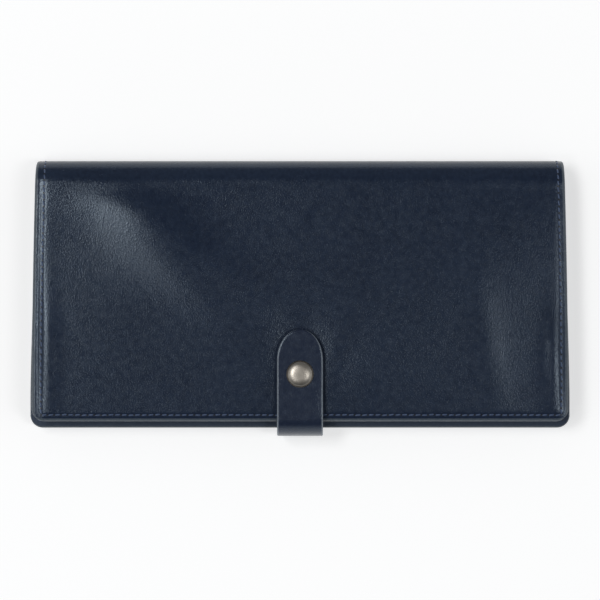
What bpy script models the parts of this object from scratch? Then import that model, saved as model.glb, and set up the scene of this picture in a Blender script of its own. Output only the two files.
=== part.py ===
"""A bifold long wallet with a snap strap, closed and lying on its back leaf.

Frame: metres, +Z up. X runs along the wallet's length. The spine is at +Y, the free
edges and the strap's bend are at -Y. The origin is the bottom centre of the closed wallet.
"""

import math

import bmesh
import bpy

# Driving dimensions
LENGTH = 0.1948
BODY_DEPTH = 0.0961
THICKNESS = 0.018
SPINE_NARROWING = 0.0027
FRONT_NARROWER = 0.0014
FRONT_SETBACK = 0.0027
LEAF_CORNER = 0.0045
STRAP_WIDTH = 0.0164
STRAP_REACH = 0.0384
STRAP_STAND_OUT = 0.0027
SNAP_FROM_BEND = 0.0224
CAP_DIAMETER = 0.0096

# Thickness of each kind of sheet, and the space kept between two pieces
COVER = 0.0012
BOARD = 0.0008
LINING = 0.0005
WALL = 0.0006
COIN_FACE = 0.0008
CARD_LEATHER = 0.0005
STRAP = 0.0016
STRAP_SKIVED = 0.0008
GAP = 0.0002

# Where the closed wallet's edges fall
SPINE_Y = (BODY_DEPTH + STRAP_STAND_OUT) / 2
BACK_EDGE_Y = SPINE_Y - BODY_DEPTH
FRONT_EDGE_Y = BACK_EDGE_Y + FRONT_SETBACK
STRAP_Y = BACK_EDGE_Y - STRAP_STAND_OUT
WIDEST_Y = -0.035
SNAP_Y = STRAP_Y + SNAP_FROM_BEND

# The spine is half a tube. Each half of it folds about an axis near its outer face.
SPINE_RADIUS = THICKNESS / 2
SPINE_CENTRE = (SPINE_Y - SPINE_RADIUS, SPINE_RADIUS)
FOLD_RADIUS = SPINE_RADIUS - COVER / 2
FOLD_Y = SPINE_CENTRE[0] + FOLD_RADIUS * math.pi / 4
FOLD_LOW_Z = COVER / 2 + FOLD_RADIUS * (1 - math.pi / 4)
FOLD_HIGH_Z = THICKNESS - FOLD_LOW_Z
SPLIT_DEG = 45.0
SPLIT_GAP_DEG = 1.1

# Heights of the back leaf's layers, from the outer leather up
BACK_BOARD_Z = COVER + GAP
BACK_LINING_Z = BACK_BOARD_Z + BOARD + GAP
BACK_BILL_GAP = 0.0007
COIN_BACK_Z = BACK_LINING_Z + LINING + BACK_BILL_GAP
COIN_ROOM = 0.0032
GUSSET_LEATHER = 0.0005
GUSSET_DEPTH = 0.003
GUSSET_MARGIN = 0.0008
COIN_FRONT_Z = COIN_BACK_Z + WALL + COIN_ROOM
SLIP_Z = COIN_FRONT_Z + COIN_FACE + GAP

# Heights of the front leaf's layers, from the outer leather down: each is a lower face
FRONT_COVER_Z = THICKNESS - COVER
FRONT_BOARD_Z = FRONT_COVER_Z - GAP - BOARD
FRONT_LINING_Z = FRONT_BOARD_Z - GAP - LINING
FRONT_BILL_GAP = 0.0006
CARD_BASE_Z = FRONT_LINING_Z - FRONT_BILL_GAP - WALL
CARD_PITCH_Z = CARD_LEATHER + GAP

# Sizes of the panels inside the leaves, measured in from the leaf's outline
PANEL_INSET = 0.0006
BOARD_INSET = 0.0055
BOARD_END_Y = 0.032
LINING_SLOPE_Y = 0.033
BILL_MOUTH_Y = 0.033
COIN_MOUTH_Y = 0.031
SLIP_MOUTH_Y = 0.011
CARD_MOUTHS_Y = (-0.009, 0.003, 0.015, 0.027)
PANEL_CORNER = 0.004
CARD_CORNER = 0.0006

# Coin pocket zip: it runs along X in a window of the coin pocket's face
ZIP_Y = 0.02
WINDOW_HALF_X = 0.074
WINDOW_WIDTH = 0.0062
TEETH_HALF_X = 0.0705
TEETH_WIDTH = 0.0016
TEETH_REACH = 0.0006
TEETH_HEIGHT = 0.0018
TEETH_APART = 0.001
TEETH_PITCH = 0.0028
STOP_LENGTH = 0.0022
TAPE_WIDTH = 0.0046
TAPE = 0.0005
TAPE_HALF_X = 0.077
TAPE_Z = COIN_FRONT_Z - GAP - TAPE
TEETH_Z = TAPE_Z - GAP
SLIDER_LENGTH = 0.008
SLIDER_WIDTH = 0.0062
SLIDER_LOW_WIDTH = 0.0054
SLIDER_PLATE = 0.0006
SLIDER_HOME_X = 0.066
SLIDER_GAP = 0.0003
SLIDER_LOW_Z = TEETH_Z - SLIDER_GAP - SLIDER_PLATE
SLIDER_HIGH_Z = COIN_FRONT_Z + COIN_FACE + SLIDER_GAP
BRIDGE = 0.0004
BRIDGE_FROM_NOSE = 0.0002
BRIDGE_LENGTH = 0.0024
BAIL_WIRE = 0.0006
BAIL_WIDTH = 0.0014
BAIL_SPAN = 0.0044
PULLER_LENGTH = 0.016
PULLER_WIDTH = 0.0042
PULLER = 0.0007
PULLER_CHAMFER = 0.001
PULLER_TAIL_WIDTH = 0.0021
PULLER_EYE_RADIUS = 0.0012
PULLER_Z = SLIDER_HIGH_Z + SLIDER_PLATE + GAP
PULLER_PIVOT_X = SLIDER_HOME_X - BAIL_SPAN / 2

# The strap: its outer face turns through two quarter bends of this radius
BEND_RADIUS = STRAP_STAND_OUT
STRAP_LOW_Z = COVER + 0.0001
SNAP_STAND_OFF = 0.0028
STRAP_TOP_Z = THICKNESS + SNAP_STAND_OFF + STRAP
STRAP_ROOT_LENGTH = 0.026
STRAP_TIP_LENGTH = 0.011
STRAP_SPLIT_GAP_DEG = 5.0
STUB_START_DEG = 3.0
TONGUE_OVERHANG = 0.0006
STRAP_BEND_STEPS = 10

# Snap fastener: turned parts on one upright axis
TURNED_GAP = 0.0003
CHAMFER = 0.0003
CAP_RADIUS = CAP_DIAMETER / 2
CAP_HEIGHT = 0.0016
CAP_RIM = 0.0004
POST_RADIUS = 0.0015
SOCKET_RADIUS = 0.0042
SOCKET_CAVITY = 0.0031
SOCKET_HEIGHT = 0.0017
SOCKET_ROOF = 0.0005
SOCKET_TOP_Z = STRAP_TOP_Z - STRAP - GAP
SOCKET_Z = SOCKET_TOP_Z - SOCKET_HEIGHT
SPRING_RADIUS = 0.0026
SPRING_WIRE = 0.0005
SPRING_OPENING_DEG = 40
SPRING_Z = SOCKET_Z + 0.0006
STUD_Z = THICKNESS + GAP
STUD_HEIGHT = 0.0017
STUD_FLANGE = 0.0038
STUD_FLANGE_HEIGHT = 0.0005
STUD_WALL = 0.0005
BALL_RADIUS = 0.002
BALL_ROUNDING = 0.0006
BALL_DROP = 0.0007
RIVET_RADIUS = 0.0012
RIVET_FLANGE = 0.0036
RIVET_HEAD = 0.0004

DRILL_DEPTH = 0.006
ROUND_STEPS = 40
TURN_STEPS = 8
CORNER_STEPS = 6
TIP_STEPS = 16
DOME_STEPS = 10
SPRING_STEPS = 26


def clear_scene():
    for old in list(bpy.data.objects):
        bpy.data.objects.remove(old, do_unlink=True)


def new_collection(name):
    collection = bpy.data.collections.new(name)
    bpy.context.scene.collection.children.link(collection)
    return collection


def new_material(name, colour, roughness, metallic=0.0):
    material = bpy.data.materials.new(name)
    material.use_nodes = True
    shader = material.node_tree.nodes["Principled BSDF"]
    shader.inputs["Base Color"].default_value = (*colour, 1.0)
    shader.inputs["Roughness"].default_value = roughness
    shader.inputs["Metallic"].default_value = metallic
    return material


clear_scene()
PARTS = new_collection("long_wallet")
CUTTERS = new_collection("cutters")
NAVY = new_material("navy_leather", (0.016, 0.022, 0.038), 0.42)
INNER_NAVY = new_material("inner_leather", (0.018, 0.025, 0.045), 0.5)
CLOTH = new_material("lining_cloth", (0.02, 0.025, 0.04), 0.9)
BOARD_GREY = new_material("leather_board", (0.20, 0.16, 0.12), 0.9)
NICKEL = new_material("antique_nickel", (0.42, 0.38, 0.33), 0.35, 1.0)
ZIP_METAL = new_material("zip_metal", (0.50, 0.46, 0.40), 0.3, 1.0)


def add_object(name, data, material):
    obj = bpy.data.objects.new(name, data)
    PARTS.objects.link(obj)
    data.materials.append(material)
    return obj


def arc(centre, radius, start_deg, end_deg, steps):
    """Points on a circle in the plane of the two coordinates that centre gives."""
    points = []
    for i in range(steps + 1):
        angle = math.radians(start_deg + (end_deg - start_deg) * i / steps)
        points.append((centre[0] + radius * math.cos(angle), centre[1] + radius * math.sin(angle)))
    return points


def towards_spine(y):
    """How far y is on its way from the leaves' widest place (0) to the spine (1)."""
    return max(0.0, (y - WIDEST_Y) / (SPINE_Y - WIDEST_Y))


def back_half_width(y, inset=0.0):
    """Half the back leaf's length at y. The leather narrows gently towards the spine."""
    return LENGTH / 2 - inset - SPINE_NARROWING * towards_spine(y) ** 1.3


def front_half_width(y, inset=0.0):
    """Half the front leaf's length at y. It is cut shorter than the back leaf at its free edge."""
    return back_half_width(y, inset) - FRONT_NARROWER * (1 - towards_spine(y))


def rounded_rows(path, width_at, start_corner, end_corner):
    """Rows (y, z, half width) along a path, with the corners at its two ends rounded."""

    def corner(tip, along, radius):
        length = math.dist(tip, along)
        way = [(b - a) / length for a, b in zip(tip, along)]
        rows = []
        for i in range(CORNER_STEPS + 1):
            angle = math.pi / 2 * i / CORNER_STEPS
            inward = radius * (1 - math.cos(angle))
            y, z = (a + inward * w for a, w in zip(tip, way))
            rows.append((y, z, width_at(y) - radius + radius * math.sin(angle)))
        return rows

    middle = [(y, z, width_at(y)) for y, z in path[1:-1]]
    first = [(*path[0], width_at(path[0][0]))]
    last = [(*path[-1], width_at(path[-1][0]))]
    if start_corner:
        first = corner(path[0], path[1], start_corner)
    if end_corner:
        last = corner(path[-1], path[-2], end_corner)[::-1]
    return first + middle + last


def sheet(name, rows, thickness, material, side=1):
    """A sheet through the rows (y, z, half width), thickened to the +Z side or the -Z side."""
    mesh = bpy.data.meshes.new(name)
    bm = bmesh.new()
    edges = []
    for y, z, half in rows:
        edges.append((bm.verts.new((-half, y, z)), bm.verts.new((half, y, z))))
    for (a, b), (c, d) in zip(edges, edges[1:]):
        bm.faces.new((a, b, d, c))
    bm.normal_update()
    bm.to_mesh(mesh)
    bm.free()
    obj = add_object(name, mesh, material)
    solidify = obj.modifiers.new("thickness", "SOLIDIFY")
    solidify.thickness = thickness
    solidify.offset = side
    solidify.use_even_offset = True
    return obj


def panel(name, leaf, end_y, low_z, thickness, material, inset=PANEL_INSET, end_corner=PANEL_CORNER):
    """A flat panel inside a leaf, this far in from its edges, and up to end_y towards the spine."""
    edge_y, half_width = leaf
    path = [(edge_y + inset, low_z), (end_y, low_z)]
    rows = rounded_rows(path, lambda y: half_width(y, inset), PANEL_CORNER, end_corner)
    return sheet(name, rows, thickness, material)


def turned(name, profile, material):
    """A part turned about the snap's axis. The profile's (radius, z) pairs run down its outer side."""
    mesh = bpy.data.meshes.new(name)
    bm = bmesh.new()
    points = [bm.verts.new((radius, 0.0, z)) for radius, z in profile]
    closed = profile[0][0] > 0.0
    for a, b in zip(points, points[1:] + points[:1] if closed else points[1:]):
        bm.edges.new((a, b))
    bm.to_mesh(mesh)
    bm.free()
    obj = add_object(name, mesh, material)
    obj.location = (0.0, SNAP_Y, 0.0)
    screw = obj.modifiers.new("turn", "SCREW")
    screw.steps = ROUND_STEPS
    screw.render_steps = ROUND_STEPS
    screw.use_merge_vertices = True
    screw.merge_threshold = 0.00001
    return obj


def move_to(obj, collection):
    for old in list(obj.users_collection):
        old.objects.unlink(obj)
    collection.objects.link(obj)


def box(name, low, high):
    bpy.ops.mesh.primitive_cube_add(size=1.0, location=[(a + b) / 2 for a, b in zip(low, high)])
    obj = bpy.context.active_object
    obj.name = name
    obj.scale = [b - a for a, b in zip(low, high)]
    bpy.ops.object.transform_apply(location=False, rotation=False, scale=True)
    return obj


def block(name, low, high, material):
    obj = box(name, low, high)
    move_to(obj, PARTS)
    obj.data.materials.append(material)
    return obj


def as_cutter(obj):
    move_to(obj, CUTTERS)
    obj.hide_render = True
    obj.display_type = "WIRE"
    return obj


def cut_round(obj, name, centre, radius):
    """Drills an upright hole through a sheet."""
    bpy.ops.mesh.primitive_cylinder_add(
        vertices=ROUND_STEPS, radius=radius, depth=DRILL_DEPTH, location=centre
    )
    drill = bpy.context.active_object
    drill.name = name
    combine(obj, as_cutter(drill), "DIFFERENCE")


def cut_box(obj, name, low, high):
    combine(obj, as_cutter(box(name, low, high)), "DIFFERENCE")


def add_box(obj, name, low, high):
    combine(obj, as_cutter(box(name, low, high)), "UNION")


def combine(obj, other, operation):
    boolean = obj.modifiers.new(operation.lower(), "BOOLEAN")
    boolean.operation = operation
    boolean.object = other
    boolean.solver = "EXACT"


def flipped(path):
    """The same path on the front leaf, which mirrors the back leaf about mid-thickness."""
    return [(y, THICKNESS - z) for y, z in path]


BACK_LEAF = (BACK_EDGE_Y, back_half_width)
FRONT_LEAF = (FRONT_EDGE_Y, front_half_width)


def outer_leather():
    """The one-piece cover, as three solids that meet at the middle of the spine's quarter turns."""
    turn = arc(SPINE_CENTRE, SPINE_RADIUS, -90, -SPLIT_DEG - SPLIT_GAP_DEG, TURN_STEPS)
    back = rounded_rows([(BACK_EDGE_Y, 0.0)] + turn, back_half_width, LEAF_CORNER, 0)
    sheet("cover_back", back, COVER, NAVY)
    front_path = flipped([(FRONT_EDGE_Y, 0.0)] + turn)
    front = rounded_rows(front_path, front_half_width, LEAF_CORNER, 0)
    cover_front = sheet("cover_front", front, COVER, NAVY, side=-1)
    cut_round(cover_front, "rivet_hole", (0.0, SNAP_Y, THICKNESS), RIVET_RADIUS + TURNED_GAP)
    spine_end = SPLIT_DEG - SPLIT_GAP_DEG
    spine = arc(SPINE_CENTRE, SPINE_RADIUS, -spine_end, spine_end, 2 * TURN_STEPS)
    sheet("cover_spine", [(y, z, back_half_width(y)) for y, z in spine], COVER, NAVY)


def boards():
    """Leather boards. The back one is notched for the strap's root, the front one open for the rivet."""
    back = panel("stiffener_back", BACK_LEAF, BOARD_END_Y, BACK_BOARD_Z, BOARD, BOARD_GREY, BOARD_INSET)
    notch_half = STRAP_WIDTH / 2 + 2 * GAP
    notch_end = BACK_EDGE_Y + STRAP_ROOT_LENGTH + 2 * GAP
    cut_box(back, "strap_notch", (-notch_half, STRAP_Y, 0.0), (notch_half, notch_end, COIN_BACK_Z))
    front = panel("stiffener_front", FRONT_LEAF, BOARD_END_Y, FRONT_BOARD_Z, BOARD, BOARD_GREY, BOARD_INSET)
    cut_round(front, "rivet_window", (0.0, SNAP_Y, FRONT_BOARD_Z), RIVET_FLANGE + 2 * GAP)


def linings():
    """The thin lining follows the boards, dips to the cover's inner face and rounds the spine."""
    radius = SPINE_RADIUS - COVER - GAP
    turn = arc(SPINE_CENTRE, radius, -90, -SPLIT_DEG - SPLIT_GAP_DEG, TURN_STEPS)
    rest = [(LINING_SLOPE_Y, BACK_LINING_Z)] + turn
    back_path = [(BACK_EDGE_Y + PANEL_INSET, BACK_LINING_Z)] + rest
    back = rounded_rows(back_path, lambda y: back_half_width(y, PANEL_INSET), PANEL_CORNER, 0)
    sheet("lining_back", back, LINING, CLOTH)
    front_path = flipped([(FRONT_EDGE_Y + PANEL_INSET, BACK_LINING_Z)] + rest)
    front = rounded_rows(front_path, lambda y: front_half_width(y, PANEL_INSET), PANEL_CORNER, 0)
    sheet("lining_front", front, LINING, CLOTH, side=-1)
    spine_end = SPLIT_DEG - SPLIT_GAP_DEG
    spine = arc(SPINE_CENTRE, radius, -spine_end, spine_end, 2 * TURN_STEPS)
    sheet("lining_spine", [(y, z, back_half_width(y, PANEL_INSET)) for y, z in spine], LINING, CLOTH)


def coin_pocket():
    """Two walls, the front one with the zip's window. The back wall also closes the bill pocket."""
    panel("coin_back_wall", BACK_LEAF, BILL_MOUTH_Y, COIN_BACK_Z, WALL, INNER_NAVY)
    face = panel("coin_front_wall", BACK_LEAF, COIN_MOUTH_Y, COIN_FRONT_Z, COIN_FACE, INNER_NAVY)
    low = (-WINDOW_HALF_X, ZIP_Y - WINDOW_WIDTH / 2, COIN_BACK_Z)
    high = (WINDOW_HALF_X, ZIP_Y + WINDOW_WIDTH / 2, THICKNESS)
    cut_box(face, "zip_window", low, high)
    panel("slip_pocket", BACK_LEAF, SLIP_MOUTH_Y, SLIP_Z, WALL, INNER_NAVY)


def gusset_outline(inset):
    """The coin pocket's outline, this far in from its walls' edges, as (x, y) points."""
    low_y = BACK_EDGE_Y + PANEL_INSET + inset
    high_y = COIN_MOUTH_Y - inset
    points = []
    for side, up, start_deg in ((1, 1, 0), (-1, 1, 90), (-1, -1, 180), (1, -1, 270)):
        edge_y = high_y if up == 1 else low_y
        x = side * (back_half_width(edge_y, PANEL_INSET + inset) - PANEL_CORNER)
        corner = (x, edge_y - up * PANEL_CORNER)
        points += arc(corner, PANEL_CORNER, start_deg, start_deg + 90, CORNER_STEPS)
    return points


def coin_gusset():
    """A strip folded inwards like a V on its side, all round the coin pocket."""
    low = COIN_BACK_Z + WALL + GAP
    high = COIN_FRONT_Z - GAP
    middle = (low + high) / 2
    tip = GUSSET_MARGIN + GUSSET_DEPTH
    profile = (
        (GUSSET_MARGIN, low),
        (tip, middle - GUSSET_LEATHER / 2),
        (tip, middle + GUSSET_LEATHER / 2),
        (GUSSET_MARGIN, high),
        (GUSSET_MARGIN, high - GUSSET_LEATHER),
        (tip - 2 * GUSSET_LEATHER, middle),
        (GUSSET_MARGIN, low + GUSSET_LEATHER),
    )
    mesh = bpy.data.meshes.new("coin_gusset")
    bm = bmesh.new()
    rings = []
    for inset, z in profile:
        rings.append([bm.verts.new((x, y, z)) for x, y in gusset_outline(inset)])
    for ring, after in zip(rings, rings[1:] + rings[:1]):
        for i, vertex in enumerate(ring):
            k = (i + 1) % len(ring)
            bm.faces.new((vertex, ring[k], after[k], after[i]))
    bmesh.ops.recalc_face_normals(bm, faces=bm.faces)
    bm.to_mesh(mesh)
    bm.free()
    add_object("coin_gusset", mesh, INNER_NAVY)


def card_pockets():
    """The card panel, and pocket strips in steps. Strip 1 lies uppermost when the wallet is open."""
    panel("card_base", FRONT_LEAF, BILL_MOUTH_Y, CARD_BASE_Z, WALL, INNER_NAVY)
    lowest_z = CARD_BASE_Z - len(CARD_MOUTHS_Y) * CARD_PITCH_Z
    for i, mouth_y in enumerate(CARD_MOUTHS_Y):
        low_z = lowest_z + i * CARD_PITCH_Z
        name = f"card_pocket_{i + 1}"
        panel(name, FRONT_LEAF, mouth_y, low_z, CARD_LEATHER, INNER_NAVY, end_corner=CARD_CORNER)


def zip_tapes():
    inner = TEETH_APART / 2 + TEETH_WIDTH + GAP
    for name, side in (("zip_tape_near", -1), ("zip_tape_far", 1)):
        a, b = sorted((ZIP_Y + side * inner, ZIP_Y + side * (inner + TAPE_WIDTH)))
        block(name, (-TAPE_HALF_X, a, TAPE_Z), (TAPE_HALF_X, b, TAPE_Z + TAPE), CLOTH)


def flat_outline(name, outlines, thickness, location, material):
    """A flat plate: the first outline is its edge, any other is a hole."""
    curve = bpy.data.curves.new(name, "CURVE")
    curve.dimensions = "2D"
    curve.fill_mode = "BOTH"
    curve.extrude = thickness / 2
    for outline in outlines:
        spline = curve.splines.new("POLY")
        spline.points.add(len(outline) - 1)
        for point, (x, y) in zip(spline.points, outline):
            point.co = (x, y, 0.0, 1.0)
        spline.use_cyclic_u = True
    obj = add_object(name, curve, material)
    obj.location = location
    return obj


def zip_teeth():
    """Each row is one comb: a bar with square teeth towards the other row."""
    root = TEETH_APART / 2 + TEETH_REACH
    back = TEETH_APART / 2 + TEETH_WIDTH
    comb = [(-TEETH_HALF_X, back)]
    for i in range(int(2 * TEETH_HALF_X / TEETH_PITCH)):
        start = -TEETH_HALF_X + (i + 0.25) * TEETH_PITCH
        end = start + TEETH_PITCH / 2
        comb += [(start, root), (start, TEETH_APART / 2), (end, TEETH_APART / 2), (end, root)]
    comb += [(TEETH_HALF_X, root), (TEETH_HALF_X, back)]
    location = (0.0, ZIP_Y, TEETH_Z + TEETH_HEIGHT / 2)
    for name, side in (("zip_teeth_near", -1), ("zip_teeth_far", 1)):
        flat_outline(name, [[(x, side * y) for x, y in comb]], TEETH_HEIGHT, location, ZIP_METAL)


def zip_stops():
    """Small metal blocks at the two ends of the teeth."""
    half_y = TEETH_APART / 2 + TEETH_WIDTH
    near, far = TEETH_HALF_X + GAP, TEETH_HALF_X + GAP + STOP_LENGTH
    for name, start, end in (("zip_stop_closed", near, far), ("zip_stop_open", -far, -near)):
        low = (start, ZIP_Y - half_y, TEETH_Z)
        high = (end, ZIP_Y + half_y, TEETH_Z + TEETH_HEIGHT)
        block(name, low, high, ZIP_METAL)


def zip_slider():
    """Two plates joined by a thin bridge that rides between the rows of teeth, and a bail on top."""
    start, end = SLIDER_HOME_X - SLIDER_LENGTH / 2, SLIDER_HOME_X + SLIDER_LENGTH / 2
    top = SLIDER_HIGH_Z + SLIDER_PLATE
    half = SLIDER_WIDTH / 2
    low, high = (start, ZIP_Y - half, SLIDER_HIGH_Z), (end, ZIP_Y + half, top)
    body = block("zip_slider_body", low, high, ZIP_METAL)
    half = SLIDER_LOW_WIDTH / 2
    low, high = (start, ZIP_Y - half, SLIDER_LOW_Z), (end, ZIP_Y + half, SLIDER_LOW_Z + SLIDER_PLATE)
    add_box(body, "slider_low_plate", low, high)
    bridge_start = start + BRIDGE_FROM_NOSE
    low = (bridge_start, ZIP_Y - BRIDGE / 2, SLIDER_LOW_Z + SLIDER_PLATE / 2)
    high = (bridge_start + BRIDGE_LENGTH, ZIP_Y + BRIDGE / 2, SLIDER_HIGH_Z + SLIDER_PLATE / 2)
    add_box(body, "slider_bridge", low, high)
    bail_z = top + PULLER + 3 * GAP
    half, half_wire = BAIL_WIDTH / 2, BAIL_WIRE / 2
    for name, side in (("bail_leg_near", -1), ("bail_leg_far", 1)):
        x = SLIDER_HOME_X + side * BAIL_SPAN / 2
        low = (x - half_wire, ZIP_Y - half, top - SLIDER_PLATE / 2)
        high = (x + half_wire, ZIP_Y + half, bail_z + half_wire)
        add_box(body, name, low, high)
    reach = BAIL_SPAN / 2 + half_wire
    low = (SLIDER_HOME_X - reach, ZIP_Y - half, bail_z)
    high = (SLIDER_HOME_X + reach, ZIP_Y + half, bail_z + BAIL_WIRE)
    add_box(body, "bail_bar", low, high)


def zip_puller():
    """A flat tab with an eye round the bail's leg. It swings flat over the slider about that leg."""
    half = PULLER_WIDTH / 2
    half_tail = PULLER_TAIL_WIDTH / 2
    tail = half - PULLER_LENGTH
    outline = arc((0.0, 0.0), half, -90, 90, 12)
    chamfer = tail + PULLER_CHAMFER
    outline += [(chamfer, half), (tail, half_tail), (tail, -half_tail), (chamfer, -half)]
    eye = arc((0.0, 0.0), PULLER_EYE_RADIUS, 0, 345, 23)
    location = (PULLER_PIVOT_X, ZIP_Y, PULLER_Z + PULLER / 2)
    flat_outline("zip_puller", [outline, eye], PULLER, location, ZIP_METAL)


def strap_rows(points):
    return [(y, z, STRAP_WIDTH / 2) for y, z in points]


def strap():
    """The strap in three rigid lengths: sewn root, side and tab. They meet at mid-bend."""
    low = (BACK_EDGE_Y, STRAP_LOW_Z + BEND_RADIUS)
    high = (BACK_EDGE_Y, STRAP_TOP_Z - BEND_RADIUS)
    split = STRAP_SPLIT_GAP_DEG
    stub = arc(low, BEND_RADIUS, -90 - STUB_START_DEG, split - 135, STRAP_BEND_STEPS)
    root = sheet("strap_root", strap_rows(stub), STRAP, NAVY, side=-1)
    half = STRAP_WIDTH / 2
    tongue_low = (-half, BACK_EDGE_Y - TONGUE_OVERHANG, BACK_BOARD_Z)
    tongue_high = (half, BACK_EDGE_Y + STRAP_ROOT_LENGTH, BACK_BOARD_Z + STRAP_SKIVED)
    add_box(root, "strap_tongue", tongue_low, tongue_high)
    side = arc(low, BEND_RADIUS, -135 - split, -180, STRAP_BEND_STEPS)
    side += arc(high, BEND_RADIUS, 180, 135 + split, STRAP_BEND_STEPS)
    sheet("strap_side", strap_rows(side), STRAP, NAVY, side=-1)
    tip_y = STRAP_Y + STRAP_REACH
    bend = arc(high, BEND_RADIUS, 135 - split, 90, STRAP_BEND_STEPS)
    rows = strap_rows(bend + [(tip_y - STRAP_TIP_LENGTH, STRAP_TOP_Z)])
    for i in range(1, TIP_STEPS):
        angle = math.pi / 2 * i / TIP_STEPS
        y = tip_y - STRAP_TIP_LENGTH * (1 - math.sin(angle))
        rows.append((y, STRAP_TOP_Z, half * math.cos(angle)))
    tab = sheet("strap_tab", rows, STRAP, NAVY, side=-1)
    cut_round(tab, "post_hole", (0.0, SNAP_Y, STRAP_TOP_Z), POST_RADIUS + TURNED_GAP)


def snap_cap():
    """A low dome with a post that goes down through the strap into the socket's roof."""
    rim_z = STRAP_TOP_Z + GAP
    dome_z = rim_z + CAP_RIM
    dome = arc((0.0, dome_z), CAP_RADIUS, 90, 0, DOME_STEPS)
    squash = (CAP_HEIGHT - CAP_RIM) / CAP_RADIUS
    profile = [(radius, dome_z + (z - dome_z) * squash) for radius, z in dome]
    profile[0] = (0.0, dome_z + CAP_HEIGHT - CAP_RIM)
    post_end = SOCKET_TOP_Z - SOCKET_ROOF + GAP / 2
    profile += [(CAP_RADIUS - CHAMFER, rim_z), (POST_RADIUS, rim_z), (POST_RADIUS, post_end), (0.0, post_end)]
    turned("snap_cap", profile, NICKEL)


def snap_socket():
    """A cup under the strap. Its ring spring grips the stud's ball."""
    hole = POST_RADIUS + TURNED_GAP
    roof_z = SOCKET_TOP_Z - SOCKET_ROOF
    profile = [
        (hole, SOCKET_TOP_Z),
        (SOCKET_RADIUS - CHAMFER, SOCKET_TOP_Z),
        (SOCKET_RADIUS, SOCKET_TOP_Z - CHAMFER),
        (SOCKET_RADIUS, SOCKET_Z),
        (SOCKET_CAVITY, SOCKET_Z),
        (SOCKET_CAVITY, roof_z),
        (hole, roof_z),
    ]
    turned("snap_socket", profile, NICKEL)
    spring = bpy.data.curves.new("snap_ring_spring", "CURVE")
    spring.dimensions = "3D"
    spring.bevel_depth = SPRING_WIRE / 2
    spring.bevel_resolution = 1
    spring.use_fill_caps = True
    ring = spring.splines.new("POLY")
    half_opening = SPRING_OPENING_DEG / 2
    points = arc((0.0, 0.0), SPRING_RADIUS, half_opening, 360 - half_opening, SPRING_STEPS)
    ring.points.add(SPRING_STEPS)
    for point, (x, y) in zip(ring.points, points):
        point.co = (x, y, 0.0, 1.0)
    obj = add_object("snap_ring_spring", spring, NICKEL)
    obj.location = (0.0, SNAP_Y, SPRING_Z)


def snap_stud():
    """The ball stud on the cover, hollow, and the rivet that holds it from inside the leather."""
    top = STUD_Z + STUD_HEIGHT
    hollow = RIVET_RADIUS + TURNED_GAP
    hollow_top = top - STUD_WALL
    stud = [
        (0.0, top),
        (BALL_RADIUS - BALL_ROUNDING, top - CHAMFER / 3),
        (BALL_RADIUS, top - BALL_DROP),
        (BALL_RADIUS - CHAMFER, STUD_Z + STUD_FLANGE_HEIGHT),
        (STUD_FLANGE, STUD_Z + STUD_FLANGE_HEIGHT - CHAMFER / 2),
        (STUD_FLANGE, STUD_Z),
        (hollow, STUD_Z),
        (hollow, hollow_top),
        (0.0, hollow_top),
    ]
    turned("snap_stud", stud, NICKEL)
    head_z = FRONT_COVER_Z - GAP
    rivet = [
        (0.0, hollow_top - TURNED_GAP),
        (RIVET_RADIUS, hollow_top - TURNED_GAP),
        (RIVET_RADIUS, head_z),
        (RIVET_FLANGE, head_z),
        (RIVET_FLANGE, head_z - RIVET_HEAD),
        (0.0, head_z - RIVET_HEAD),
    ]
    turned("snap_rivet", rivet, NICKEL)


def axis_point(name, location, pieces, parent=None):
    """An empty on a joint's axis. Everything that moves with the joint is parented to it."""
    empty = bpy.data.objects.new(name, None)
    PARTS.objects.link(empty)
    empty.location = location
    empty.parent = parent
    if parent is not None:
        empty.location = [a - b for a, b in zip(location, parent.matrix_world.translation)]
    bpy.context.view_layer.update()
    for piece in pieces:
        obj = bpy.data.objects[piece]
        obj.parent = empty
        obj.matrix_parent_inverse = empty.matrix_world.inverted()
    bpy.context.view_layer.update()
    return empty


def joints():
    spine = axis_point("spine_axis", (0.0, FOLD_Y, FOLD_LOW_Z), ["cover_spine", "lining_spine"])
    front_pieces = ["cover_front", "stiffener_front", "lining_front", "card_base", "snap_stud", "snap_rivet"]
    front_pieces += [f"card_pocket_{i + 1}" for i in range(len(CARD_MOUTHS_Y))]
    axis_point("front_leaf_axis", (0.0, FOLD_Y, FOLD_HIGH_Z), front_pieces, spine)
    out = BEND_RADIUS * math.sqrt(0.5)
    low = (0.0, BACK_EDGE_Y - out, STRAP_LOW_Z + BEND_RADIUS - out)
    high = (0.0, BACK_EDGE_Y - out, STRAP_TOP_Z - BEND_RADIUS + out)
    side = axis_point("strap_side_axis", low, ["strap_side"])
    axis_point("strap_tab_axis", high, ["strap_tab", "snap_cap", "snap_socket", "snap_ring_spring"], side)
    slider = axis_point("slider_axis", (SLIDER_HOME_X, ZIP_Y, TEETH_Z), ["zip_slider_body"])
    axis_point("puller_axis", (PULLER_PIVOT_X, ZIP_Y, PULLER_Z), ["zip_puller"], slider)


outer_leather()
boards()
linings()
coin_pocket()
coin_gusset()
card_pockets()
zip_tapes()
zip_teeth()
zip_stops()
zip_slider()
zip_puller()
strap()
snap_cap()
snap_socket()
snap_stud()
joints()
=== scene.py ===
"""The long wallet's looks: leather, thread, snap, zip and lining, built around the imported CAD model.

Frame: metres, +Z up. X runs along the wallet, the spine is at +Y and the free edges are at -Y.
"""

import math

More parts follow.
